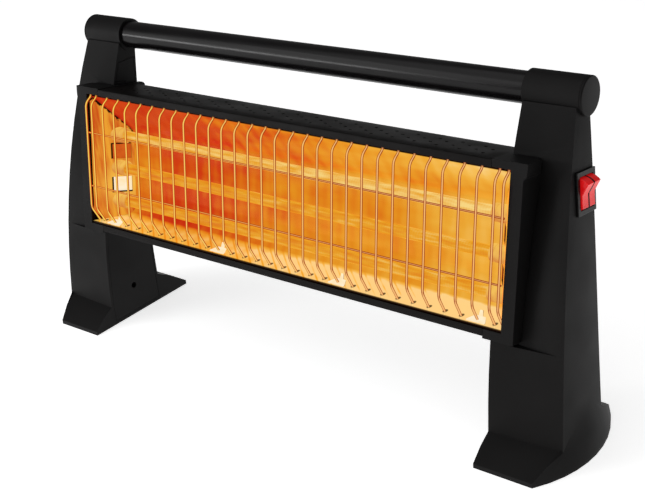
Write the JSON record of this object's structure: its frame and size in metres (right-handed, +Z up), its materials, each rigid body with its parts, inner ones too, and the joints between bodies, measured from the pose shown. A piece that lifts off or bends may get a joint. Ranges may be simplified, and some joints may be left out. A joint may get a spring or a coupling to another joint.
{
  "type": "electric bar heater",
  "caption": "Portable radiant bar heater: glowing quartz tubes behind a wire guard in a case leaning back between two moulded legs, with a round carrying bar.",
  "frame": {"origin": "middle of the box around the heater, on the floor plane under the feet", "axes": "+X along the heater toward the leg with the switch, -Y out of the heated front, +Z up"},
  "size_m": [0.5774, 0.126, 0.2898],
  "materials": {
    "charcoal_plastic": "fine moulded grain",
    "black_sheet": "satin black stoved paint",
    "gloss_black": "gloss black enamel",
    "chrome_wire": "bright chrome",
    "polished_reflector": "bright rolled, lightly brushed",
    "quartz": "clear fused quartz lit from inside",
    "heating_alloy": "oxidised resistance wire, glowing in use",
    "ceramic": "unglazed white",
    "brass": "plain",
    "screw_steel": "zinc plated",
    "black_plastic": "smooth moulded",
    "red_plastic": "smooth translucent"
  },
  "bodies": {
    "base": {"right_leg_shell": "charcoal_plastic", "left_leg_shell": "charcoal_plastic", "right_leg_cover": "charcoal_plastic", "left_leg_cover": "charcoal_plastic", "right_bar_cap": "charcoal_plastic", "left_bar_cap": "charcoal_plastic", "right_end_frame": "charcoal_plastic", "left_end_frame": "charcoal_plastic", "sheet_case": "black_sheet", "handle_bar": "gloss_black", "wire_guard": "chrome_wire", "reflector": "polished_reflector", "right_reflector_end": "polished_reflector", "left_reflector_end": "polished_reflector", "right_cap_bracket": "polished_reflector", "left_cap_bracket": "polished_reflector", "quartz_tube_1": "quartz", "quartz_tube_2": "quartz", "quartz_tube_3": "quartz", "heating_coil_1": "heating_alloy", "heating_coil_2": "heating_alloy", "heating_coil_3": "heating_alloy", "right_ceramic_cap_1": "ceramic", "left_ceramic_cap_1": "ceramic", "right_ceramic_cap_2": "ceramic", "left_ceramic_cap_2": "ceramic", "right_ceramic_cap_3": "ceramic", "left_ceramic_cap_3": "ceramic", "terminal_block": "ceramic", "right_lead_tag_1": "brass", "right_lead_tag_2": "brass", "right_lead_tag_3": "brass", "left_lead_strip": "brass", "right_leg_screw": "screw_steel", "left_leg_screw": "screw_steel", "case_screw_1": "screw_steel", "case_screw_2": "screw_steel", "case_screw_3": "screw_steel", "case_screw_4": "screw_steel", "thermal_cutout": "screw_steel", "tilt_switch_pin": "screw_steel", "switch_housing": "black_plastic", "tilt_switch_case": "black_plastic", "cord_bush": "black_plastic"},
    "front_rocker": {"front_rocker": "red_plastic"},
    "rear_rocker": {"rear_rocker": "red_plastic"},
    "tilt_pendulum": {"tilt_switch_pendulum": "brass"}
  },
  "joints": [
    {"name": "front_rocker_pivot", "type": "hinge", "parent": "base", "child": "front_rocker", "pos_m": [0.26615, 0.0248, 0.2079], "axis": [0.0141, 0.9903, -0.1385], "range_deg": [-30, 0]},
    {"name": "rear_rocker_pivot", "type": "hinge", "parent": "base", "child": "rear_rocker", "pos_m": [0.26615, 0.0248, 0.2079], "axis": [0.0141, 0.9903, -0.1385], "range_deg": [-30, 0]},
    {"name": "tilt_pendulum_swing", "type": "hinge", "parent": "base", "child": "tilt_pendulum", "pos_m": [0.2267, 0, 0.079], "axis": [1, 0, 0], "range_deg": [-15, 15]}
  ]
}
